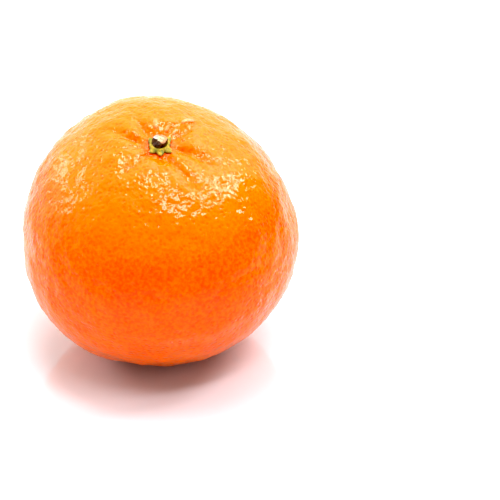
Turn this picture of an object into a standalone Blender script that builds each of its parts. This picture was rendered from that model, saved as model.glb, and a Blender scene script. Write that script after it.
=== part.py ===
"""A whole mandarin, resting on a table with its stem end leaning towards the viewer.

Units are metres and +Z is up. The origin is on the table, under the middle of the fruit,
at the flat spot on which the fruit rests. The fruit is modelled about its own axis, from
the blossom end at the bottom to the stem end at the top, and an empty leans that axis.

Pieces:
  fruit    rind and flesh as one solid, puckered round the stem
  calyx    the green star of five sepals that sits in the stem dimple
  pedicel  the short cut stub of the stalk that stands on the calyx
"""

import bpy
import bmesh
from math import atan2, cos, degrees, exp, hypot, radians, sin, sqrt
from mathutils import Matrix, Vector, noise

# Overall form of the fruit, about its own axis
EQUATOR_RADIUS = 0.0340        # half of the 68 mm across the middle
HALF_HEIGHT = 0.0296           # centre to either pole, before the dimples
SHOULDER_FULLNESS = 0.0166     # how far the stem half is squarer than an ellipse
LEAN = radians(13.0)           # the stem end tips this far towards -Y
REST_DEPTH = 0.0006            # how much of the skin is pressed flat on the table

# The fruit is not round: low swells (+) and flats (-), each with its own spread.
# Azimuth is measured round the fruit's axis from +X, colatitude from the stem.
SWELLS = (
    # azimuth, colatitude, spread, height
    (10.0, 80.0, 38.0, -0.0014),     # flat right cheek
    (50.0, 50.0, 38.0, -0.0010),     # flat right shoulder, at the back
    (110.0, 47.0, 38.0, 0.0014),     # full back shoulder
    (160.0, 68.0, 38.0, -0.0004),    # left cheek
    (-145.0, 120.0, 38.0, 0.0014),   # full belly, front left
    (-60.0, 122.0, 38.0, 0.0005),    # belly, front right
    (110.0, 47.0, 10.0, 0.0006),     # corner of the back shoulder
    (20.0, 71.0, 13.0, -0.0004),     # facet above the right cheek
    (2.0, 88.0, 14.0, 0.0005),       # corner of the right cheek
    (157.0, 68.0, 13.0, 0.0004),     # corner of the left cheek
    (-175.0, 96.0, 17.0, -0.0006),   # facet of the left side
    (-131.0, 127.0, 11.0, 0.0006),   # low corner, front left
    (-80.0, 135.0, 15.0, -0.0004),   # facet under the belly
)
UNEVENNESS = 0.00016           # height of the small irregular lumps
UNEVENNESS_SIZE = 0.0085       # and how far apart they are

# Dimple and puckering round the stem
SEAT_RADIUS = 0.0041           # flat floor that the calyx sits on
SEAT_HEIGHT = 0.0281           # height of that floor above the fruit's centre
DIMPLE_RADIUS = 0.0095         # where the dimple has risen to the shoulder
COLLAR_HEIGHT = 0.00025        # the shoulder swells up a little round the dimple
COLLAR_RADIUS = 0.0105
COLLAR_WIDTH = 0.0045
FURROW_START = 0.0043          # the furrows begin at the edge of the calyx
FURROW_WIDTH = 0.00045         # half width, and how it opens outwards
FURROW_OPENING = 0.10
FURROWS = (
    # azimuth at the calyx, turn by the far end, reach, depth
    (168.0, -16.0, 0.0150, 0.00125),
    (127.0, -5.0, 0.0130, 0.00095),
    (66.0, -8.0, 0.0095, 0.00055),
    (35.0, 8.0, 0.0145, 0.00075),
    (-17.0, -9.0, 0.0170, 0.00125),
    (-65.0, 12.0, 0.0190, 0.00115),
    (-82.0, -8.0, 0.0140, 0.00065),
    (-127.0, -1.0, 0.0160, 0.00080),
    (-165.0, 4.0, 0.0100, 0.00045),
)

# Shallow pit at the blossom end
BLOSSOM_PIT_DEPTH = 0.00045
BLOSSOM_PIT_RADIUS = 0.0034

# Mesh of the fruit: meridians, rings, and how far the rings crowd towards the stem
FRUIT_MERIDIANS = 80
FRUIT_RINGS = 46
RING_CROWDING = 0.45

# Calyx: five sepals grown together in a disc, set a little off the fruit's axis
CALYX_CENTRE = (0.0003, -0.0003)
CALYX_RADIUS = 0.00270         # of the disc between the sepals' tips
CALYX_THICKNESS = 0.0006
SEPALS = (
    # azimuth of the tip, how far it stands out of the disc, half its angular width
    (46.0, 0.00105, 19.0),
    (141.0, 0.00075, 20.0),
    (-129.0, 0.00070, 16.0),
    (-85.0, 0.00115, 17.0),
    (-40.0, 0.00120, 17.0),
)

# Stub of the stalk
STUB_RADIUS = 0.00190
STUB_TAPER = 0.00008           # narrower at the cut by this much
STUB_HEIGHT = 0.00125
STUB_CUT_SLOPE = 0.09          # the cut is higher at the front than at the back
STUB_EDGE = 0.00014

GAP = 0.0003                   # clearance between pieces that touch


def smooth_step(low, high, value):
    """0 below low, 1 above high, and an even S between them."""
    t = min(1.0, max(0.0, (value - low) / (high - low)))
    return t * t * (3.0 - 2.0 * t)


def direction(azimuth, colatitude):
    """Unit vector for an azimuth and a colatitude in degrees."""
    a = radians(azimuth)
    c = radians(colatitude)
    return Vector((sin(c) * cos(a), sin(c) * sin(a), cos(c)))


def body_radius(way):
    """Distance from the centre to the skin along a unit vector, without the dimples."""
    across = hypot(way.x, way.y)
    radius = 1.0 / sqrt((across / EQUATOR_RADIUS) ** 2 + (way.z / HALF_HEIGHT) ** 2)
    if way.z > 0.0:
        radius *= 1.0 + SHOULDER_FULLNESS * (2.0 * across * way.z) ** 2
    for azimuth, colatitude, spread, height in SWELLS:
        away = way.angle(direction(azimuth, colatitude))
        radius += height * exp(-((away / radians(spread)) ** 2))
    lumps = noise.noise(way * (radius / UNEVENNESS_SIZE))
    return radius + 2.0 * UNEVENNESS * lumps


def furrow_depth(x, y):
    """Depth of the puckering at a point beside the fruit's axis."""
    reach_here = hypot(x, y)
    azimuth_here = degrees(atan2(y, x))
    depth = 0.0
    for azimuth, turn, reach, deepest in FURROWS:
        along = (reach_here - FURROW_START) / (reach - FURROW_START)
        middle = azimuth + turn * min(1.0, max(0.0, along))
        off = (azimuth_here - middle + 180.0) % 360.0 - 180.0
        if abs(off) > 90.0:
            continue
        sideways = reach_here * sin(radians(off))
        width = FURROW_WIDTH + FURROW_OPENING * reach_here
        fade_in = smooth_step(0.90 * FURROW_START, 1.20 * FURROW_START, reach_here)
        fade_out = 1.0 - smooth_step(0.50 * reach, 1.1 * reach, reach_here)
        depth += deepest * fade_in * fade_out * exp(-((sideways / width) ** 2))
    return depth


def stem_end_height(point):
    """Height of the skin near the stem, given a point on the plain body."""
    reach = hypot(point.x, point.y)
    ring = (reach - COLLAR_RADIUS) / COLLAR_WIDTH
    height = point.z + COLLAR_HEIGHT * exp(-(ring ** 2))
    wall = (reach - SEAT_RADIUS) / (DIMPLE_RADIUS - SEAT_RADIUS)
    wall = min(1.0, max(0.0, wall))
    height -= (HALF_HEIGHT - SEAT_HEIGHT) * (1.0 - wall) ** 2
    height -= furrow_depth(point.x, point.y)
    seat = 1.0 - smooth_step(0.98 * SEAT_RADIUS, 1.12 * SEAT_RADIUS, reach)
    return height * (1.0 - seat) + SEAT_HEIGHT * seat


def skin_point(way):
    """Point on the finished skin along a unit vector from the fruit's centre."""
    point = way * body_radius(way)
    reach = hypot(point.x, point.y)
    if point.z > 0.0:
        point.z = stem_end_height(point)
    else:
        point.z += BLOSSOM_PIT_DEPTH * exp(-((reach / BLOSSOM_PIT_RADIUS) ** 2))
    return point


def material(name, colour, roughness):
    """A plain Principled material."""
    made = bpy.data.materials.new(name)
    made.use_nodes = True
    shader = made.node_tree.nodes["Principled BSDF"]
    shader.inputs["Base Color"].default_value = (*colour, 1.0)
    shader.inputs["Roughness"].default_value = roughness
    shader.inputs["Metallic"].default_value = 0.0
    made.diffuse_color = (*colour, 1.0)
    return made


def add_piece(name, bm, finish, parent):
    """Turn a bmesh into a smooth named object in the mandarin's collection."""
    mesh = bpy.data.meshes.new(name)
    bmesh.ops.recalc_face_normals(bm, faces=bm.faces)
    bm.to_mesh(mesh)
    bm.free()
    mesh.shade_smooth()
    mesh.materials.append(finish)
    piece = bpy.data.objects.new(name, mesh)
    collection.objects.link(piece)
    piece.parent = parent
    return piece


# Clear the scene and make the collection
for thing in list(bpy.data.objects):
    bpy.data.objects.remove(thing, do_unlink=True)
collection = bpy.data.collections.new("mandarin")
bpy.context.scene.collection.children.link(collection)

# The fruit: a sphere whose vertices are moved out to the skin
fruit_bm = bmesh.new()
bmesh.ops.create_uvsphere(
    fruit_bm, u_segments=FRUIT_MERIDIANS, v_segments=FRUIT_RINGS, radius=1.0)
for vert in fruit_bm.verts:
    flat = hypot(vert.co.x, vert.co.y)
    colatitude = atan2(flat, vert.co.z)
    colatitude -= RING_CROWDING * sin(colatitude)
    azimuth = atan2(vert.co.y, vert.co.x)
    way = direction(degrees(azimuth), degrees(colatitude))
    vert.co = skin_point(way)

# Its flat rest spot: whatever would reach below the table is pressed up to it
turn = Matrix.Rotation(LEAN, 3, "X")
lowest = min((turn @ vert.co).z for vert in fruit_bm.verts)
centre_height = -lowest - REST_DEPTH
for vert in fruit_bm.verts:
    standing = turn @ vert.co
    standing.z = max(standing.z, -centre_height)
    vert.co = turn.transposed() @ standing

# The empty at the fruit's centre carries every piece and leans with the stem
axis = bpy.data.objects.new("fruit_axis", None)
axis.empty_display_size = 0.02
collection.objects.link(axis)
axis.location = (0.0, 0.0, centre_height)
axis.rotation_euler = (LEAN, 0.0, 0.0)
peel = material("mandarin_peel", (0.87, 0.30, 0.03), 0.42)
fruit = add_piece("fruit", fruit_bm, peel, axis)

# The calyx: a squashed sphere, flat above and below, with its rim drawn out to sepals
calyx_bm = bmesh.new()
bmesh.ops.create_uvsphere(calyx_bm, u_segments=60, v_segments=14, radius=1.0)
for vert in calyx_bm.verts:
    azimuth = degrees(atan2(vert.co.y, vert.co.x))
    rim = CALYX_RADIUS
    for tip, height, width in SEPALS:
        off = (azimuth - tip + 180.0) % 360.0 - 180.0
        rim += height * exp(-((off / width) ** 2))
    flat = hypot(vert.co.x, vert.co.y)
    reach = rim * flat
    rise = 0.95 * CALYX_THICKNESS * vert.co.z
    rise = min(0.5 * CALYX_THICKNESS, max(-0.5 * CALYX_THICKNESS, rise))
    vert.co = Vector((reach * cos(radians(azimuth)), reach * sin(radians(azimuth)), rise))
sepal_green = material("sepal_green", (0.42, 0.40, 0.07), 0.65)
calyx = add_piece("calyx", calyx_bm, sepal_green, axis)
calyx.location = (*CALYX_CENTRE, SEAT_HEIGHT + GAP + 0.5 * CALYX_THICKNESS)

# The stub of the stalk: a low cone frustum with a slanting cut and a worn edge
stub_bm = bmesh.new()
bmesh.ops.create_cone(
    stub_bm, cap_ends=True, segments=36, radius1=STUB_RADIUS,
    radius2=STUB_RADIUS - STUB_TAPER, depth=STUB_HEIGHT)
for vert in stub_bm.verts:
    if vert.co.z > 0.0:
        vert.co.z -= STUB_CUT_SLOPE * vert.co.y
bark = material("stalk_bark", (0.10, 0.05, 0.03), 0.8)
pedicel = add_piece("pedicel", stub_bm, bark, axis)
calyx_top = SEAT_HEIGHT + GAP + CALYX_THICKNESS
pedicel.location = (*CALYX_CENTRE, calyx_top + GAP + 0.5 * STUB_HEIGHT)
worn = pedicel.modifiers.new("worn_edge", "BEVEL")
worn.width = STUB_EDGE
worn.segments = 2
worn.limit_method = "ANGLE"
worn.angle_limit = radians(40.0)
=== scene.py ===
import bpy
import bmesh
from math import atan2, cos, degrees, exp, hypot, pi, radians, sin, sqrt
from mathutils import Matrix, Vector, noise
from mathutils.bvhtree import BVHTree
from random import Random


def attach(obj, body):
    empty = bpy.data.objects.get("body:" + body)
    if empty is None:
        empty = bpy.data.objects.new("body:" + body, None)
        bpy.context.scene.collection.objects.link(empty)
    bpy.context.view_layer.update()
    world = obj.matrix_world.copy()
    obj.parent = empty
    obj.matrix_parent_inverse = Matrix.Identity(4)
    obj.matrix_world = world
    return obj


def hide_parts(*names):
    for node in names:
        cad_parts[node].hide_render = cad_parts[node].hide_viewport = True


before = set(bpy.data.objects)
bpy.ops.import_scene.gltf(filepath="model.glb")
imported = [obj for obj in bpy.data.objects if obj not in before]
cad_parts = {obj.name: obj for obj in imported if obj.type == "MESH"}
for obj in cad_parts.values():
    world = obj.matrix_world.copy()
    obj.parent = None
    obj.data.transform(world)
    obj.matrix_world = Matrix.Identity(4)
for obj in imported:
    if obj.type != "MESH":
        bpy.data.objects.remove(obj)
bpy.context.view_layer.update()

# The rind
# The whole outside of a mandarin: a loose orange skin, waxy and closely pebbled with oil
# glands, puckered into furrows where it gathers round the stem. It is grown in one piece
# over the flesh, so it is one closed surface laid over the plain solid of the fruit.

FRUIT_CENTRE = Vector((0.0, 0.0, 0.02959))     # the middle of the fruit above the table
STEM_LEAN = radians(13.0)                      # the stem end tips this far towards -Y
CLEAR_OF_FRUIT = 0.045                         # from the middle, this is outside the fruit
fruit_axes = Matrix.Translation(FRUIT_CENTRE) @ Matrix.Rotation(STEM_LEAN, 4, "X")
fruit_axes_back = fruit_axes.inverted()


def node_in(tree, kind, inputs=None, **settings):
    """Add a node, set its properties, and fill or wire its inputs by name or number."""
    node = tree.nodes.new(kind)
    for name, value in settings.items():
        setattr(node, name, value)
    for key, value in (inputs or {}).items():
        socket = node.inputs[key]
        if isinstance(value, bpy.types.NodeSocket):
            tree.links.new(value, socket)
        else:
            socket.default_value = value
    return node


def maths(tree, operation, a, b=0.0, clamp=False):
    """One Math node; returns its result."""
    node = node_in(tree, "ShaderNodeMath", {0: a, 1: b}, operation=operation)
    node.use_clamp = clamp
    return node.outputs[0]


def vectors(tree, operation, a, b=None, scale=None):
    """One Vector Math node; returns its vector."""
    inputs = {0: a}
    if b is not None:
        inputs[1] = b
    if scale is not None:
        inputs["Scale"] = scale
    return node_in(tree, "ShaderNodeVectorMath", inputs, operation=operation).outputs[0]


def step_between(tree, value, low, high, first=0.0, last=1.0):
    """A smooth rise from first to last as value goes from low to high."""
    node = node_in(
        tree, "ShaderNodeMapRange",
        {"Value": value, "From Min": low, "From Max": high, "To Min": first, "To Max": last},
        interpolation_type="SMOOTHSTEP")
    return node.outputs[0]


def add_socket(tree, name, kind, value=None, out=False):
    """Give a node tree a named input, or an output."""
    side = "OUTPUT" if out else "INPUT"
    socket = tree.interface.new_socket(name=name, in_out=side, socket_type=kind)
    if value is not None:
        socket.default_value = value
    return socket


def set_tree_input(modifier, name, value):
    """Set a Geometry Nodes input by the identifier of the socket with that name."""
    for item in modifier.node_group.interface.items_tree:
        if item.item_type == "SOCKET" and item.in_out == "INPUT" and item.name == name:
            modifier[item.identifier] = value
            return
    raise KeyError(name)


def bake_modifiers(thing, name):
    """Return a new plain object holding what the modifiers of a thing make."""
    graph = bpy.context.evaluated_depsgraph_get()
    mesh = bpy.data.meshes.new_from_object(thing.evaluated_get(graph), depsgraph=graph)
    mesh.name = name
    made = bpy.data.objects.new(name, mesh)
    bpy.context.scene.collection.objects.link(made)
    return made


# The plain fruit, merged and turned to quads, is what the rind is laid over
plain = bpy.data.objects.new("plain_fruit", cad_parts["fruit"].data.copy())
plain_bm = bmesh.new()
plain_bm.from_mesh(plain.data)
bmesh.ops.remove_doubles(plain_bm, verts=plain_bm.verts, dist=0.000001)
bmesh.ops.join_triangles(
    plain_bm, faces=plain_bm.faces, angle_face_threshold=radians(60.0),
    angle_shape_threshold=radians(60.0))
plain_skin = BVHTree.FromBMesh(plain_bm)
plain_bm.to_mesh(plain.data)
plain_bm.free()
bpy.context.scene.collection.objects.link(plain)


def on_skin(azimuth, reach):
    """Point on the plain fruit at an azimuth round the stem and a distance from its axis."""
    a = radians(azimuth)
    above = fruit_axes @ Vector((reach * cos(a), reach * sin(a), CLEAR_OF_FRUIT))
    down = fruit_axes.to_3x3() @ Vector((0.0, 0.0, -1.0))
    return plain_skin.ray_cast(above, down)[0]


# Sharp creases that run down the middle of the furrows, the fine wrinkles between them, and
# a few raised ridges, whose depth is negative
CREASES = (
    # depth, half width, then azimuth and reach of each point, from the calyx outwards
    (0.00028, 0.00040, (170, 0.0042), (163, 0.0060), (157, 0.0090), (153, 0.0125)),
    (-0.00030, 0.00030, (184, 0.0042), (166, 0.0052), (149, 0.0064), (141, 0.0080)),
    (0.00022, 0.00040, (127, 0.0043), (124, 0.0070), (121, 0.0105)),
    (0.00030, 0.00040, (112, 0.0044), (108, 0.0062)),
    (0.00024, 0.00032, (64, 0.0044), (57, 0.0062), (53, 0.0084)),
    (0.00030, 0.00034, (36, 0.0044), (34, 0.0070), (38, 0.0098), (43, 0.0128)),
    (0.00026, 0.00036, (-13, 0.0043), (-20, 0.0066), (-24, 0.0100), (-23, 0.0150)),
    (0.00020, 0.00045, (-63, 0.0060), (-58, 0.0095), (-54, 0.0140)),
    (0.00034, 0.00050, (-82, 0.0045), (-84, 0.0072)),
    (0.00016, 0.00045, (-92, 0.0085), (-88, 0.0130)),
    (0.00028, 0.00032, (-134, 0.0043), (-129, 0.0078), (-128, 0.0140)),
    (0.00014, 0.00040, (-166, 0.0043), (-162, 0.0090)),
    (-0.00060, 0.00085, (52, 0.0094), (47, 0.0128)),
    (0.00030, 0.00030, (47, 0.0100), (45, 0.0122)),
    (-0.00060, 0.00080, (97, 0.0060), (94, 0.0086)),
    (-0.00045, 0.00050, (72, 0.0052), (70, 0.0070)),
)
WRINKLE_COUNT = 40
CREASE_STEP = 0.00025          # distance between points along a crease
CREASE_SHARE = 0.6             # every crease and ridge is cut to this share of its listed depth
wrinkle_dice = Random(11)
crease_lines = list(CREASES)
for number in range(WRINKLE_COUNT):
    start = number * 360.0 / WRINKLE_COUNT + wrinkle_dice.uniform(-5.0, 5.0)
    first = wrinkle_dice.uniform(0.0042, 0.0062)
    last = first + wrinkle_dice.uniform(0.0020, 0.0070)
    bend = wrinkle_dice.uniform(-9.0, 9.0)
    depth = wrinkle_dice.uniform(0.00008, 0.00022)
    width = wrinkle_dice.uniform(0.00020, 0.00034)
    crease_lines.append((depth, width, (start, first), (start + bend, last)))

crease_bm = bmesh.new()
depth_layer = crease_bm.verts.layers.float.new("crease_depth")
width_layer = crease_bm.verts.layers.float.new("crease_width")
for depth, width, *stops in crease_lines:
    before = None
    for (az_a, reach_a), (az_b, reach_b) in zip(stops, stops[1:]):
        steps = max(3, int((reach_b - reach_a) / CREASE_STEP))
        for step in range(steps + 1):
            t = step / steps
            reach = reach_a + (reach_b - reach_a) * t
            azimuth = az_a + (az_b - az_a) * t
            wander = noise.noise(Vector((reach * 420.0, depth * 9e4, az_a)))
            azimuth += 70.0 * (0.001 / reach) * wander
            vert = crease_bm.verts.new(on_skin(azimuth, reach))
            along = (reach - stops[0][1]) / (stops[-1][1] - stops[0][1])
            vert[depth_layer] = CREASE_SHARE * depth * min(1.0, (1.0 - along) * 2.2 + 0.02)
            vert[width_layer] = width * (1.0 + 0.8 * along)
            if before is not None:
                crease_bm.edges.new((before, vert))
            before = vert
crease_mesh = bpy.data.meshes.new("rind_creases")
crease_bm.to_mesh(crease_mesh)
crease_bm.free()
creases = bpy.data.objects.new("rind_creases", crease_mesh)
bpy.context.scene.collection.objects.link(creases)


def rind_tree():
    """Geometry Nodes: an even quad sphere, laid on the fruit and raised into pebbled rind."""
    tree = bpy.data.node_groups.new("lay_rind", "GeometryNodeTree")
    add_socket(tree, "Geometry", "NodeSocketGeometry")
    add_socket(tree, "Creases", "NodeSocketObject")
    add_socket(tree, "Centre", "NodeSocketVector")
    add_socket(tree, "Stem Lean", "NodeSocketFloat", 0.2)
    add_socket(tree, "Points Per Side", "NodeSocketInt", 64)
    add_socket(tree, "Crowding At Stem", "NodeSocketFloat", 0.2)
    add_socket(tree, "Gland Spacing", "NodeSocketFloat", 0.001)
    add_socket(tree, "Gland Pit", "NodeSocketFloat", 0.00005)
    add_socket(tree, "Pebble Size", "NodeSocketFloat", 0.0015)
    add_socket(tree, "Pebble Height", "NodeSocketFloat", 0.00004)
    add_socket(tree, "Ripple Size", "NodeSocketFloat", 0.003)
    add_socket(tree, "Ripple Height", "NodeSocketFloat", 0.0001)
    add_socket(tree, "Lump Size", "NodeSocketFloat", 0.006)
    add_socket(tree, "Lump Height", "NodeSocketFloat", 0.0001)
    add_socket(tree, "Seed", "NodeSocketInt", 1)
    add_socket(tree, "Material", "NodeSocketMaterial")
    add_socket(tree, "Geometry", "NodeSocketGeometry", out=True)
    given = tree.nodes.new("NodeGroupInput").outputs
    result = tree.nodes.new("NodeGroupOutput")

    # An even quad sphere: a cube's grid, bent by equal angles, crowded towards the stem
    cube = node_in(tree, "GeometryNodeMeshCube", {
        "Size": (2.0, 2.0, 2.0), "Vertices X": given["Points Per Side"],
        "Vertices Y": given["Points Per Side"], "Vertices Z": given["Points Per Side"]})
    where = tree.nodes.new("GeometryNodeInputPosition").outputs[0]
    bent = vectors(tree, "TANGENT", vectors(tree, "SCALE", where, scale=pi / 4.0))
    way = node_in(tree, "ShaderNodeSeparateXYZ", {0: vectors(tree, "NORMALIZE", bent)}).outputs
    flat = maths(tree, "SQRT", maths(tree, "MAXIMUM", maths(
        tree, "SUBTRACT", 1.0, maths(tree, "MULTIPLY", way[2], way[2])), 1e-9))
    colatitude = maths(tree, "ARCCOSINE", way[2])
    crowded = maths(tree, "SUBTRACT", colatitude, maths(
        tree, "MULTIPLY", given["Crowding At Stem"], flat))
    spread = maths(tree, "DIVIDE", maths(tree, "SINE", crowded), flat)
    upright = node_in(tree, "ShaderNodeCombineXYZ", {
        0: maths(tree, "MULTIPLY", way[0], spread), 1: maths(tree, "MULTIPLY", way[1], spread),
        2: maths(tree, "COSINE", crowded)}).outputs[0]
    leaning = node_in(tree, "ShaderNodeVectorRotate", {
        "Vector": upright, "Angle": given["Stem Lean"]}, rotation_type="X_AXIS").outputs[0]

    # Laid on the fruit: each point goes out from the centre to the smoothed solid
    smooth_fruit = node_in(tree, "GeometryNodeSubdivisionSurface", {
        "Mesh": given["Geometry"], "Level": 2})
    reach = node_in(tree, "GeometryNodeRaycast", {
        "Target Geometry": smooth_fruit.outputs[0], "Source Position": given["Centre"],
        "Ray Direction": leaning, "Ray Length": 0.08})
    laid = node_in(tree, "GeometryNodeSetPosition", {
        "Geometry": cube.outputs["Mesh"], "Position": reach.outputs["Hit Position"]})

    # Oil glands: evenly scattered points, each a small round hollow, some deeper than others
    glands = node_in(tree, "GeometryNodeDistributePointsOnFaces", {
        "Mesh": laid.outputs[0], "Distance Min": given["Gland Spacing"],
        "Density Max": 3.0e6, "Seed": given["Seed"]}, distribute_method="POISSON")
    nearest = node_in(tree, "GeometryNodeSampleNearest", {"Geometry": glands.outputs[0]})
    gland_place = node_in(tree, "GeometryNodeSampleIndex", {
        "Geometry": glands.outputs[0], "Value": where, "Index": nearest.outputs[0]},
        data_type="FLOAT_VECTOR").outputs[0]
    away = node_in(tree, "ShaderNodeVectorMath", {0: where, 1: gland_place}, operation="DISTANCE")
    in_spacings = maths(tree, "DIVIDE", away.outputs["Value"], given["Gland Spacing"])
    vigour = node_in(tree, "FunctionNodeRandomValue", {
        "Min": 0.3, "Max": 1.4, "ID": nearest.outputs[0], "Seed": given["Seed"]},
        data_type="FLOAT").outputs[1]
    pit = maths(tree, "MULTIPLY", step_between(tree, in_spacings, 0.0, 0.58, 1.0, 0.0), vigour)
    core = maths(tree, "MULTIPLY", step_between(tree, in_spacings, 0.08, 0.34, 1.0, 0.0), vigour)

    # Pebbles between the glands, ripples a few glands wide, and lumps as wide as a fingertip
    def swell(size, detail):
        made = node_in(tree, "ShaderNodeTexNoise", {
            "Vector": where, "Scale": maths(tree, "DIVIDE", 1.0, size), "Detail": detail,
            "Roughness": 0.5}, noise_dimensions="3D")
        return maths(tree, "MULTIPLY", maths(tree, "SUBTRACT", made.outputs[0], 0.5), 2.0)

    pebbles = maths(tree, "MULTIPLY", swell(given["Pebble Size"], 0.0), given["Pebble Height"])
    ripples = maths(tree, "MULTIPLY", swell(given["Ripple Size"], 0.0), given["Ripple Height"])
    lumps = maths(tree, "MULTIPLY", swell(given["Lump Size"], 0.0), given["Lump Height"])

    # Creases: how deep the nearest one is here
    crease_info = node_in(tree, "GeometryNodeObjectInfo", {"Object": given["Creases"]})
    crease_geometry = crease_info.outputs["Geometry"]
    beside = node_in(tree, "GeometryNodeProximity", {0: crease_geometry}, target_element="EDGES")
    nearest_crease = node_in(tree, "GeometryNodeSampleNearest", {"Geometry": crease_geometry})

    def of_crease(name):
        read = node_in(tree, "GeometryNodeInputNamedAttribute", {"Name": name}, data_type="FLOAT")
        return node_in(tree, "GeometryNodeSampleIndex", {
            "Geometry": crease_geometry, "Value": read.outputs[0],
            "Index": nearest_crease.outputs[0]}, data_type="FLOAT").outputs[0]

    sideways = maths(tree, "DIVIDE", beside.outputs["Distance"], of_crease("crease_width"))
    notch = maths(tree, "EXPONENT", maths(
        tree, "MULTIPLY", maths(tree, "MULTIPLY", sideways, sideways), -1.0))
    crease = maths(tree, "MULTIPLY", notch, of_crease("crease_depth"))

    offset = maths(tree, "SUBTRACT", pebbles, maths(tree, "MULTIPLY", pit, given["Gland Pit"]))
    offset = maths(tree, "ADD", offset, ripples)
    offset = maths(tree, "ADD", offset, lumps)
    offset = maths(tree, "SUBTRACT", offset, crease)
    masked = node_in(tree, "GeometryNodeStoreNamedAttribute", {
        "Geometry": laid.outputs[0], "Name": "gland", "Value": core},
        data_type="FLOAT", domain="POINT")
    masked = node_in(tree, "GeometryNodeStoreNamedAttribute", {
        "Geometry": masked.outputs[0], "Name": "crease", "Value": maths(
            tree, "MULTIPLY", crease, 4000.0)}, data_type="FLOAT", domain="POINT")
    outward = tree.nodes.new("GeometryNodeInputNormal").outputs[0]
    raised = node_in(tree, "GeometryNodeSetPosition", {
        "Geometry": masked.outputs[0], "Offset": vectors(tree, "SCALE", outward, scale=offset)})

    # Nothing reaches below the table
    standing = vectors(tree, "MAXIMUM", where, (-1.0, -1.0, 0.00001))
    stood = node_in(tree, "GeometryNodeSetPosition", {
        "Geometry": raised.outputs[0], "Position": standing})
    smooth = node_in(tree, "GeometryNodeSetShadeSmooth", {"Geometry": stood.outputs[0]})
    real = node_in(tree, "GeometryNodeRealizeInstances", {"Geometry": smooth.outputs[0]})
    finished = node_in(tree, "GeometryNodeSetMaterial", {
        "Geometry": real.outputs[0], "Material": given["Material"]})
    tree.links.new(finished.outputs[0], result.inputs[0])
    return tree


def principled(name, roughness, specular, coat, coat_roughness):
    """A new material with a Principled BSDF; the even values are set on its own sockets."""
    material = bpy.data.materials.new(name)
    material.use_nodes = True
    shader = material.node_tree.nodes["Principled BSDF"]
    shader.inputs["Roughness"].default_value = roughness
    shader.inputs["Specular IOR Level"].default_value = specular
    shader.inputs["Coat Weight"].default_value = coat
    shader.inputs["Coat Roughness"].default_value = coat_roughness
    return material, material.node_tree, shader


def blend_colours(tree, factor, first, second, mode="MIX"):
    """Mix two colours; returns the colour."""
    node = tree.nodes.new("ShaderNodeMix")
    node.data_type = "RGBA"
    node.blend_type = mode
    for socket, value in ((node.inputs[0], factor), (node.inputs[6], first),
                          (node.inputs[7], second)):
        if isinstance(value, bpy.types.NodeSocket):
            tree.links.new(value, socket)
        else:
            socket.default_value = value
    return node.outputs[2]


def speckle_group():
    """Shader group: blotches at one size and grain at another, as masks from 0 to 1."""
    group = bpy.data.node_groups.new("natural_mottle", "ShaderNodeTree")
    add_socket(group, "Vector", "NodeSocketVector")
    add_socket(group, "Blotch Size", "NodeSocketFloat", 0.01)
    add_socket(group, "Grain Size", "NodeSocketFloat", 0.001)
    add_socket(group, "Blotches", "NodeSocketFloat", out=True)
    add_socket(group, "Grain", "NodeSocketFloat", out=True)
    given = group.nodes.new("NodeGroupInput").outputs
    result = group.nodes.new("NodeGroupOutput")
    for name, output, detail, low, high in (
            ("Blotch Size", "Blotches", 3.0, 0.32, 0.68), ("Grain Size", "Grain", 2.0, 0.3, 0.7)):
        made = node_in(group, "ShaderNodeTexNoise", {
            "Vector": given["Vector"], "Scale": maths(group, "DIVIDE", 1.0, given[name]),
            "Detail": detail})
        group.links.new(step_between(group, made.outputs[0], low, high), result.inputs[output])
    return group


def gland_group():
    """Shader group: round oil glands at random depths in the skin, as a mask from 0 to 1."""
    group = bpy.data.node_groups.new("oil_glands", "ShaderNodeTree")
    add_socket(group, "Vector", "NodeSocketVector")
    add_socket(group, "Spacing", "NodeSocketFloat", 0.001)
    add_socket(group, "Glands", "NodeSocketFloat", out=True)
    given = group.nodes.new("NodeGroupInput").outputs
    result = group.nodes.new("NodeGroupOutput")
    cells = node_in(group, "ShaderNodeTexVoronoi", {
        "Vector": given["Vector"], "Scale": maths(group, "DIVIDE", 1.0, given["Spacing"])})
    group.links.new(
        step_between(group, cells.outputs["Distance"], 0.05, 0.50, 1.0, 0.0), result.inputs[0])
    return group


natural_mottle = speckle_group()
oil_glands = gland_group()

# Colours of the rind
RIND_ORANGE = (0.95, 0.235, 0.0006, 1.0)
RIND_DEEP = (0.90, 0.105, 0.0004, 1.0)
RIND_YELLOW = (0.95, 0.222, 0.0022, 1.0)
GLAND_AND_PIT_SHADE_ORANGE = (0.86, 0.066, 0.0004, 1.0)
FURROW_SHADE_ORANGE = (0.88, 0.160, 0.0008, 1.0)
RIDGE_HIGHLIGHT_PALE = (0.95, 0.48, 0.28, 1.0)

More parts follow.
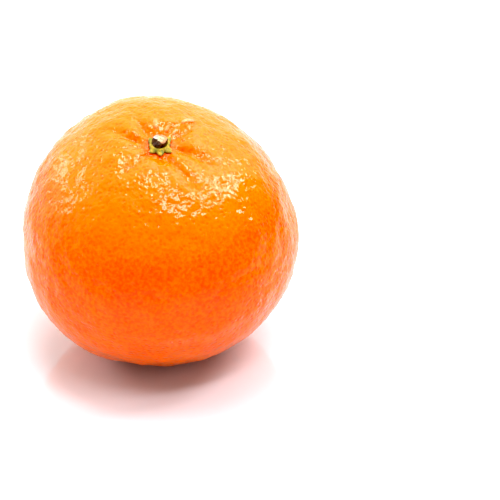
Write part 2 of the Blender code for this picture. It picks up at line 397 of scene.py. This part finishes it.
rind, rind_nodes, rind_shader = principled(
    "waxy_orange_rind", roughness=0.34, specular=0.08, coat=0.66, coat_roughness=0.07)
rind_place = node_in(rind_nodes, "ShaderNodeTexCoord").outputs["Object"]
mottle = node_in(rind_nodes, "ShaderNodeGroup", node_tree=natural_mottle)
rind_nodes.links.new(rind_place, mottle.inputs["Vector"])
mottle.inputs["Blotch Size"].default_value = 0.011
mottle.inputs["Grain Size"].default_value = 0.0008
stem_space = node_in(rind_nodes, "ShaderNodeMapping", {
    "Vector": rind_place, "Location": -(FRUIT_CENTRE)}, vector_type="POINT").outputs[0]
stem_turned = node_in(rind_nodes, "ShaderNodeVectorRotate", {
    "Vector": stem_space, "Angle": -STEM_LEAN}, rotation_type="X_AXIS").outputs[0]
stem_xyz = node_in(rind_nodes, "ShaderNodeSeparateXYZ", {0: stem_turned}).outputs
uneven = maths(rind_nodes, "ADD", maths(rind_nodes, "MULTIPLY", mottle.outputs["Blotches"], 0.24),
               maths(rind_nodes, "MULTIPLY", mottle.outputs["Grain"], 0.58))
colour = blend_colours(rind_nodes, uneven, RIND_DEEP, RIND_ORANGE)
# Yellower and lighter towards the stem end: partly the rind's own tone, partly painted light from
# the lamps above.
stem_tone_and_top_light = step_between(rind_nodes, stem_xyz[2], 0.015, 0.024)
colour = blend_colours(
    rind_nodes, maths(rind_nodes, "MULTIPLY", stem_tone_and_top_light, 0.80), colour, RIND_YELLOW)
# Paler below the middle of the fruit: painted light bounced up from the table.
painted_table_bounce = step_between(rind_nodes, stem_xyz[2], 0.0, 0.012, 0.25, 0.0)
colour = blend_colours(rind_nodes, painted_table_bounce, colour, RIND_YELLOW)
# The glands darker orange: partly their own deeper colour, partly painted shade in their pits.
gland_tint_and_pit_shade = node_in(rind_nodes, "ShaderNodeAttribute", attribute_name="gland").outputs["Fac"]
gland_tint_and_pit_shade = step_between(rind_nodes, gland_tint_and_pit_shade, 0.2, 1.3, 0.0, 0.35)
colour = blend_colours(rind_nodes, gland_tint_and_pit_shade, colour, GLAND_AND_PIT_SHADE_ORANGE)
# Finer glands darkened the same way, more so away from the stem end: their own colour and painted
# shade in the pits.
small_glands = node_in(rind_nodes, "ShaderNodeGroup", node_tree=oil_glands)
rind_nodes.links.new(rind_place, small_glands.inputs["Vector"])
small_glands.inputs["Spacing"].default_value = 0.00125
colour = blend_colours(rind_nodes, maths(
    rind_nodes, "MULTIPLY", small_glands.outputs["Glands"],
    step_between(rind_nodes, stem_xyz[2], 0.012, 0.026, 0.32, 0.20)), colour, GLAND_AND_PIT_SHADE_ORANGE)
crease_mark = node_in(rind_nodes, "ShaderNodeAttribute", attribute_name="crease").outputs["Fac"]
# Raised ridges (negative crease depth) tinted whitish pink: a painted highlight.
ridge_painted_highlight = maths(rind_nodes, "MULTIPLY", crease_mark, -0.34, clamp=True)
colour = blend_colours(rind_nodes, ridge_painted_highlight, colour, RIDGE_HIGHLIGHT_PALE)
# The furrows a deeper orange than the rind round them: painted shade.
crease_mark = maths(rind_nodes, "MULTIPLY", crease_mark, 0.6, clamp=True)
colour = blend_colours(rind_nodes, crease_mark, colour, FURROW_SHADE_ORANGE)
# A deeper orange ring on the rind round the calyx: painted shade under and round its edge.
from_stem = maths(rind_nodes, "SQRT", maths(
    rind_nodes, "ADD", maths(rind_nodes, "MULTIPLY", stem_xyz[0], stem_xyz[0]),
    maths(rind_nodes, "MULTIPLY", stem_xyz[1], stem_xyz[1])))
painted_calyx_shade = maths(rind_nodes, "MULTIPLY", step_between(
    rind_nodes, from_stem, 0.0032, 0.0048, 0.6, 0.0), step_between(
    rind_nodes, stem_xyz[2], 0.0, 0.01))
colour = blend_colours(rind_nodes, painted_calyx_shade, colour, RIND_DEEP)
rind_nodes.links.new(colour, rind_shader.inputs["Base Color"])
rind_nodes.links.new(
    step_between(rind_nodes, mottle.outputs["Grain"], 0.0, 1.0, 0.28, 0.42),
    rind_shader.inputs["Roughness"])
rind_shader.inputs["Subsurface Weight"].default_value = 0.12
rind_shader.inputs["Subsurface Radius"].default_value = (1.0, 0.35, 0.08)
rind_shader.inputs["Subsurface Scale"].default_value = 0.0018
fine_noise = node_in(rind_nodes, "ShaderNodeTexNoise", {
    "Vector": rind_place, "Scale": 1800.0, "Detail": 1.0})
fine_height = maths(rind_nodes, "SUBTRACT", maths(
    rind_nodes, "MULTIPLY", fine_noise.outputs[0], 0.8), small_glands.outputs["Glands"])
fine_bump = node_in(rind_nodes, "ShaderNodeBump", {
    "Strength": 1.0, "Distance": 0.000022, "Height": fine_height})
rind_nodes.links.new(fine_bump.outputs[0], rind_shader.inputs["Coat Normal"])
deep_bump = node_in(rind_nodes, "ShaderNodeBump", {
    "Strength": 1.0, "Distance": 0.00010, "Height": fine_height})
rind_nodes.links.new(deep_bump.outputs[0], rind_shader.inputs["Normal"])

laying = plain.modifiers.new("lay_rind", "NODES")
laying.node_group = rind_tree()
for input_name, input_value in (
        ("Creases", creases), ("Centre", FRUIT_CENTRE), ("Stem Lean", STEM_LEAN),
        ("Points Per Side", 128), ("Crowding At Stem", 0.40), ("Gland Spacing", 0.00100),
        ("Gland Pit", 0.000070), ("Pebble Size", 0.00095), ("Pebble Height", 0.00009),
        ("Ripple Size", 0.0023), ("Ripple Height", 0.00015), ("Lump Size", 0.0060),
        ("Lump Height", 0.00036), ("Seed", 7), ("Material", rind)):
    set_tree_input(laying, input_name, input_value)
fruit_skin = bake_modifiers(plain, "fruit_skin")
plain.modifiers.clear()
bpy.data.objects.remove(plain, do_unlink=True)
bpy.data.objects.remove(creases, do_unlink=True)
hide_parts("fruit")
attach(fruit_skin, "root")

# The calyx
# The five green sepals of the flower, dried and grown together into a thick ragged star.
# It lies in the dimple and still holds the fruit to its stalk. Its tips are bent; its rim is
# brown, most of all in the gaps between the lobes, where the brown is partly painted shade.

CALYX_MIDDLE = Vector((0.0003, -0.0003, 0.0))       # in the fruit's own axes
CALYX_DISC = 0.00262
SEPAL_TIPS = (
    # azimuth, length beyond the disc, half width in degrees, lift of the tip off the rind
    (46.0, 0.00112, 27.0, 0.00020),
    (141.0, 0.00086, 28.0, 0.00028),
    (-129.0, 0.00088, 24.0, 0.00006),
    (-85.0, 0.00112, 24.0, 0.00010),
    (-40.0, 0.00130, 25.0, 0.00004),
)

calyx_bm = bmesh.new()
bmesh.ops.create_uvsphere(calyx_bm, u_segments=220, v_segments=90, radius=1.0)
tip_layer = calyx_bm.verts.layers.float.new("towards_tip")
lobe_layer = calyx_bm.verts.layers.float.new("lobe")
for vert in calyx_bm.verts:
    azimuth = degrees(atan2(vert.co.y, vert.co.x))
    around = Vector((cos(radians(azimuth)), sin(radians(azimuth)), 0.0))
    rim = CALYX_DISC
    rib = 0.0
    bend = 0.0
    lobe = 0.0
    for tip, length, width, lift in SEPAL_TIPS:
        off = (azimuth - tip + 180.0) % 360.0 - 180.0
        shape = max(0.0, 1.0 - abs(off) / width)
        rounded = 0.55 * shape + 0.45 * shape * shape * (3.0 - 2.0 * shape)
        rim += length * rounded
        rib += exp(-((off / 5.0) ** 2))
        bend += lift * shape
        lobe += rounded
    rim *= 1.0 + 0.05 * noise.noise(around * 5.0) + 0.03 * noise.noise(around * 14.0)
    across = hypot(vert.co.x, vert.co.y)
    out = rim * across
    here = around * out
    upper = vert.co.z >= 0.0
    bulge = sqrt(max(0.0, 1.0 - across ** 5)) * (1.0 if upper else -1.0)
    skin = (fruit_axes_back @ on_skin(azimuth, out)).z
    rise = skin + 0.00036 + 0.00036 * bulge + bend * across ** 3
    if upper:
        rise += 0.00040 * exp(-((out - 0.00200) / 0.00044) ** 2)
        rise += 0.00020 * (lobe - 0.45) * across ** 2 * (1.0 - across ** 6)
        rise -= 0.00007 * rib * across * (1.0 - across ** 4)
        rise += 0.00007 * noise.noise(here * 2000.0) + 0.00004 * noise.noise(here * 5200.0)
        rise += 0.00005 * noise.noise(Vector((azimuth / 4.5, out * 500.0, 2.0))) * across
    vert[tip_layer] = across
    vert[lobe_layer] = lobe
    vert.co = fruit_axes @ (Vector((CALYX_MIDDLE.x, CALYX_MIDDLE.y, rise)) + here)
bmesh.ops.recalc_face_normals(calyx_bm, faces=calyx_bm.faces)
calyx_mesh = bpy.data.meshes.new("sepal_star")
calyx_bm.to_mesh(calyx_mesh)
calyx_bm.free()
calyx_mesh.shade_smooth()
sepal_star = bpy.data.objects.new("sepal_star", calyx_mesh)
bpy.context.scene.collection.objects.link(sepal_star)

SEPAL_GREEN = (0.15, 0.185, 0.034, 1.0)
SEPAL_YELLOW = (0.47, 0.37, 0.048, 1.0)
SEPAL_BROWN_AND_SHADE = (0.20, 0.070, 0.012, 1.0)
sepal_finish, sepal_nodes, sepal_shader = principled(
    "dry_sepal_green", roughness=0.55, specular=0.4, coat=0.0, coat_roughness=0.3)
sepal_place = node_in(sepal_nodes, "ShaderNodeTexCoord").outputs["Object"]
sepal_mottle = node_in(sepal_nodes, "ShaderNodeGroup", node_tree=natural_mottle)
sepal_nodes.links.new(sepal_place, sepal_mottle.inputs["Vector"])
sepal_mottle.inputs["Blotch Size"].default_value = 0.0013
sepal_mottle.inputs["Grain Size"].default_value = 0.00030
sepal_colour = blend_colours(sepal_nodes, maths(
    sepal_nodes, "ADD", sepal_mottle.outputs["Blotches"], maths(
        sepal_nodes, "MULTIPLY", sepal_mottle.outputs["Grain"], 0.25), clamp=True),
    SEPAL_GREEN, SEPAL_YELLOW)
tip_mark = node_in(sepal_nodes, "ShaderNodeAttribute", attribute_name="towards_tip")
lobe_mark = node_in(sepal_nodes, "ShaderNodeAttribute", attribute_name="lobe")
# Brown along the rim, strongest in the gaps between the lobes: partly the dried edge, partly
# painted shade in the gaps.
brown_rim_and_gap_shade = step_between(sepal_nodes, tip_mark.outputs["Fac"], 0.86, 1.0)
gap_shade = step_between(sepal_nodes, lobe_mark.outputs["Fac"], 0.0, 0.5, 1.0, 0.25)
brown_rim_and_gap_shade = maths(sepal_nodes, "MULTIPLY", maths(
    sepal_nodes, "MULTIPLY", brown_rim_and_gap_shade, gap_shade), maths(
    sepal_nodes, "ADD", 0.35, sepal_mottle.outputs["Grain"]), clamp=True)
sepal_colour = blend_colours(sepal_nodes, brown_rim_and_gap_shade, sepal_colour, SEPAL_BROWN_AND_SHADE)
sepal_nodes.links.new(sepal_colour, sepal_shader.inputs["Base Color"])
sepal_nodes.links.new(
    step_between(sepal_nodes, sepal_mottle.outputs["Grain"], 0.0, 1.0, 0.45, 0.7),
    sepal_shader.inputs["Roughness"])
sepal_bump = node_in(sepal_nodes, "ShaderNodeBump", {
    "Strength": 0.5, "Distance": 0.00008, "Height": sepal_mottle.outputs["Grain"]})
sepal_nodes.links.new(sepal_bump.outputs[0], sepal_shader.inputs["Normal"])
calyx_mesh.materials.append(sepal_finish)
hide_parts("calyx")
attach(sepal_star, "root")

# The stalk
# A short woody stub where the fruit was clipped from its twig. The bark on its side is
# nearly black and ribbed; the cut shows pale wood, a darker ring and the pith.

STUB_FOOT = Vector((0.00030, -0.00030, 0.02872))   # in the fruit's own axes
STUB_RADIUS = 0.00186
STUB_TALL = 0.00172
CHIP_WAY = Vector((-0.72, -0.69, 0.0))             # the cut has split away on this side
CHIP_START = 0.00046                               # how far out from the middle it starts
CRACK_MIDDLE = Vector((0.00052, -0.00012, 0.0))
CRACK_WAY = Vector((0.71, -0.71, 0.0))

stub_bm = bmesh.new()
bmesh.ops.create_uvsphere(stub_bm, u_segments=180, v_segments=150, radius=1.0)
cut_layer = stub_bm.verts.layers.float.new("cut_face")
ring_layer = stub_bm.verts.layers.float.new("from_middle")
crack_layer = stub_bm.verts.layers.float.new("crack")
for vert in stub_bm.verts:
    azimuth = atan2(vert.co.y, vert.co.x)
    polar = degrees(atan2(hypot(vert.co.x, vert.co.y), vert.co.z))
    around = Vector((cos(azimuth), sin(azimuth), 0.0))
    ribs = 0.030 * sin(7.0 * azimuth + 0.6) + 0.018 * sin(16.0 * azimuth)
    ribs += 0.090 * noise.noise(around * 1.8 + Vector((0.0, 0.0, 5.0)))
    across = min(1.0, polar / 90.0) if polar < 90.0 else min(1.0, (180.0 - polar) / 30.0)
    height = 1.0 if polar < 90.0 else max(0.0, (150.0 - polar) / 60.0)
    out = STUB_RADIUS * across * (1.0 + ribs * across ** 3)
    if polar >= 90.0:
        out *= 0.86 + 0.14 * height ** 0.7
    place = around * out
    whole = STUB_TALL - 0.05 * place.y + 0.05 * place.x
    split = max(0.0, place.dot(CHIP_WAY) - CHIP_START - 0.00016 * sin(azimuth * 5.0)
                - 0.00022 * max(0.0, sin(azimuth + 2.6)))
    rounding = 0.00022 * max(0.0, (across - 0.80) / 0.20) ** 2 if polar < 90.0 else 0.00022
    top = whole - 0.85 * split - 0.00016 * min(1.0, split / 0.00010) - rounding
    crack = 0.0
    if polar < 90.0:
        top += 0.00008 * noise.noise(place * 2000.0) + 0.00005 * noise.noise(place * 5200.0)
        top += 0.00009 * exp(-((across - 0.76) / 0.09) ** 2)
        beside = (place - CRACK_MIDDLE).cross(CRACK_WAY).z + 0.00010 * sin(out * 9000.0)
        along = (place - CRACK_MIDDLE).dot(CRACK_WAY)
        crack = exp(-(beside / 0.00010) ** 2 - (along / 0.00080) ** 4)
        top -= 0.00014 * crack
    vert[cut_layer] = 1.0 - min(1.0, split / 0.00006) if polar < 86.0 else 0.0
    vert[ring_layer] = out / STUB_RADIUS
    vert[crack_layer] = crack
    side_grain = noise.noise(Vector((azimuth * 5.0, height * 1.2, 0.0)))
    if polar >= 90.0:
        place += around * 0.00005 * side_grain
    place.z = top * height
    vert.co = fruit_axes @ (STUB_FOOT + place)
bmesh.ops.recalc_face_normals(stub_bm, faces=stub_bm.faces)
stub_mesh = bpy.data.meshes.new("cut_stalk")
stub_bm.to_mesh(stub_mesh)
stub_bm.free()
stub_mesh.shade_smooth()
cut_stalk = bpy.data.objects.new("cut_stalk", stub_mesh)
bpy.context.scene.collection.objects.link(cut_stalk)

BARK_DARK = (0.050, 0.027, 0.016, 1.0)
BARK_BROWN = (0.150, 0.080, 0.035, 1.0)
WOOD_CREAM = (0.56, 0.29, 0.10, 1.0)
CUT_HIGHLIGHT_GREY = (0.52, 0.53, 0.50, 1.0)
WOOD_YELLOW = (0.66, 0.54, 0.30, 1.0)
stalk_finish, stalk_nodes, stalk_shader = principled(
    "clipped_stalk", roughness=0.5, specular=0.4, coat=0.0, coat_roughness=0.3)
stalk_place = node_in(stalk_nodes, "ShaderNodeTexCoord").outputs["Object"]
stalk_mottle = node_in(stalk_nodes, "ShaderNodeGroup", node_tree=natural_mottle)
stalk_nodes.links.new(stalk_place, stalk_mottle.inputs["Vector"])
stalk_mottle.inputs["Blotch Size"].default_value = 0.0009
stalk_mottle.inputs["Grain Size"].default_value = 0.00022
bark = blend_colours(stalk_nodes, stalk_mottle.outputs["Blotches"], BARK_DARK, BARK_BROWN)
from_middle = node_in(
    stalk_nodes, "ShaderNodeAttribute", attribute_name="from_middle").outputs["Fac"]
inner_wood = step_between(stalk_nodes, from_middle, 0.45, 0.70, 1.0, 0.0)
wood = blend_colours(stalk_nodes, inner_wood, WOOD_CREAM, WOOD_YELLOW)
stalk_xyz = node_in(stalk_nodes, "ShaderNodeSeparateXYZ", {0: stalk_place}).outputs
# The cut greyer and paler towards -X: a painted highlight.
painted_cut_highlight = step_between(stalk_nodes, stalk_xyz[0], -0.0009, 0.0004, 1.0, 0.15)
wood = blend_colours(stalk_nodes, painted_cut_highlight, wood, CUT_HIGHLIGHT_GREY)
wood = blend_colours(stalk_nodes, maths(
    stalk_nodes, "MULTIPLY", stalk_mottle.outputs["Grain"], 0.25), wood, BARK_BROWN)
crack_mark = node_in(stalk_nodes, "ShaderNodeAttribute", attribute_name="crack").outputs["Fac"]
wood = blend_colours(
    stalk_nodes, maths(stalk_nodes, "MULTIPLY", crack_mark, 0.4), wood, BARK_BROWN)
cut_mark = node_in(stalk_nodes, "ShaderNodeAttribute", attribute_name="cut_face").outputs["Fac"]
stalk_nodes.links.new(blend_colours(stalk_nodes, cut_mark, bark, wood),
                      stalk_shader.inputs["Base Color"])
stalk_bump = node_in(stalk_nodes, "ShaderNodeBump", {
    "Strength": 0.5, "Distance": 0.00008, "Height": stalk_mottle.outputs["Grain"]})
stalk_nodes.links.new(stalk_bump.outputs[0], stalk_shader.inputs["Normal"])
stub_mesh.materials.append(stalk_finish)
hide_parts("pedicel")
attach(cut_stalk, "root")

# The blossom scar
# A small brown corky button in the shallow pit at the blossom end, where the style of the
# flower dropped off. It is grown into the rind.

SCAR_RADIUS = 0.00085
below = fruit_axes @ Vector((0.0, 0.0, -CLEAR_OF_FRUIT))
pit_place = plain_skin.ray_cast(below, fruit_axes.to_3x3() @ Vector((0.0, 0.0, 1.0)))[0]
pit_depth = (fruit_axes_back @ pit_place).z
scar_bm = bmesh.new()
bmesh.ops.create_uvsphere(scar_bm, u_segments=72, v_segments=36, radius=1.0)
for vert in scar_bm.verts:
    azimuth = atan2(vert.co.y, vert.co.x)
    around = Vector((cos(azimuth), sin(azimuth), 0.0))
    across = hypot(vert.co.x, vert.co.y)
    out = SCAR_RADIUS * across * (1.0 + 0.16 * noise.noise(around * 2.2))
    ring = 0.00008 * exp(-((across - 0.72) / 0.16) ** 2) - 0.00010 * exp(-(across / 0.30) ** 2)
    swell = 0.00016 * vert.co.z
    if vert.co.z < 0.0:
        swell -= ring + 0.00003 * noise.noise(around * out * 4000.0)
    vert.co = fruit_axes @ (around * out + Vector((0.0, 0.0, pit_depth + swell)))
bmesh.ops.recalc_face_normals(scar_bm, faces=scar_bm.faces)
scar_mesh = bpy.data.meshes.new("blossom_scar")
scar_bm.to_mesh(scar_mesh)
scar_bm.free()
scar_mesh.shade_smooth()
scar_mesh.materials.append(stalk_finish)
blossom_scar = bpy.data.objects.new("blossom_scar", scar_mesh)
bpy.context.scene.collection.objects.link(blossom_scar)
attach(blossom_scar, "root")

# The studio
# A glossy white table top in a pale room, brighter behind the fruit than in front. Eight
# soft boxes make the glints on the rind, and three wide fills light it without any.

TABLE_WHITE = (0.66, 0.69, 0.69, 1.0)
LAMP_TINT = (1.0, 0.92, 1.0)
FRUIT_MIDDLE = (0.0, 0.0, 0.03)
FRONT_WALL = 0.80                  # brightness of the room on the camera's side
BACK_WALL = 1.80                   # and behind the fruit
DISPLAY_GAMMA = 0.8
DISPLAY_BLACK = (0.04, 0.04, 0.04)

table_bm = bmesh.new()
bmesh.ops.create_grid(table_bm, x_segments=1, y_segments=1, size=2.0)
table_mesh = bpy.data.meshes.new("table_top")
table_bm.to_mesh(table_mesh)
table_bm.free()
table_top = bpy.data.objects.new("table_top", table_mesh)
bpy.context.scene.collection.objects.link(table_top)
table_finish, _, table_shader = principled(
    "white_table", roughness=0.07, specular=1.0, coat=0.0, coat_roughness=0.1)
table_shader.inputs["Base Color"].default_value = TABLE_WHITE
table_mesh.materials.append(table_finish)

world = bpy.data.worlds.new("white_room")
bpy.context.scene.world = world
world.use_nodes = True
world.node_tree.nodes["Background"].inputs["Color"].default_value = (1.0, 1.0, 1.0, 1.0)
world_way = node_in(world.node_tree, "ShaderNodeTexCoord").outputs["Generated"]
world_sides = node_in(world.node_tree, "ShaderNodeSeparateXYZ", {0: world_way}).outputs
world_light = maths(
    world.node_tree, "MULTIPLY",
    step_between(world.node_tree, world_sides[1], -0.6, 0.6, FRONT_WALL, BACK_WALL),
    step_between(world.node_tree, world_sides[0], 0.5, 0.9, 0.85, 0.15))
world.node_tree.links.new(world_light, world.node_tree.nodes["Background"].inputs["Strength"])


def soft_box(name, place, width, height, watts, aim=FRUIT_MIDDLE, mirrored=True):
    """A rectangular area light; one that is not mirrored leaves no glint of its own."""
    lamp = bpy.data.lights.new(name, "AREA")
    lamp.shape = "RECTANGLE"
    lamp.size = width
    lamp.size_y = height
    lamp.energy = watts
    lamp.color = LAMP_TINT
    box = bpy.data.objects.new(name, lamp)
    bpy.context.scene.collection.objects.link(box)
    box.visible_glossy = mirrored
    box.location = place
    box.rotation_euler = (Vector(aim) - Vector(place)).to_track_quat("-Z", "Y").to_euler()


soft_box("front_lamp", (0.30, -0.32, 1.00), 0.70, 0.15, 5.2, aim=(0.20, -0.10, 0.00))
soft_box("right_lamp", (1.00, 0.26, 1.00), 0.20, 0.46, 5.4)
soft_box("far_right_lamp", (1.15, 0.75, 1.00), 0.18, 0.50, 3.9)
soft_box("inner_right_lamp", (0.62, 0.10, 1.00), 0.22, 0.22, 1.8)
soft_box("left_high_lamp", (-0.10, 0.10, 1.00), 0.16, 0.46, 3.8)
soft_box("left_lamp", (-0.90, 0.25, 0.55), 0.22, 0.24, 1.1)
soft_box("left_back_lamp", (-1.15, 0.88, 0.59), 0.40, 0.50, 2.9)
soft_box("overhead_box", (0.35, 0.70, 1.00), 0.80, 0.60, 4.1, aim=(0.25, 0.50, 0.00))
soft_box("left_back_fill", (-0.95, 0.95, 0.40), 0.80, 0.50, 6.5, mirrored=False)
soft_box("left_low_fill", (-1.30, -0.30, 0.15), 0.80, 0.50, 5.3, mirrored=False)
soft_box("right_fill", (1.35, 0.00, 0.50), 0.80, 0.50, 4.4, mirrored=False)

VIEW_ELEVATION = radians(32.0)
VIEW_DISTANCE = 0.5
VIEW_AIM = Vector((0.02139, 0.0, 0.02425))
VIEW_LENS = 146.95
camera = bpy.data.cameras.new("photo_camera")
camera.sensor_width = 36.0
camera.lens = VIEW_LENS
camera.clip_start = 0.01
photo_camera = bpy.data.objects.new("photo_camera", camera)
bpy.context.scene.collection.objects.link(photo_camera)
photo_camera.location = VIEW_AIM + VIEW_DISTANCE * Vector(
    (0.0, -cos(VIEW_ELEVATION), sin(VIEW_ELEVATION)))
photo_camera.rotation_euler = (pi / 2.0 - VIEW_ELEVATION, 0.0, 0.0)
bpy.context.scene.camera = photo_camera

display = bpy.context.scene.view_settings
display.view_transform = "Standard"
display.gamma = DISPLAY_GAMMA
display.use_curve_mapping = True
display.curve_mapping.black_level = DISPLAY_BLACK
display.curve_mapping.update()
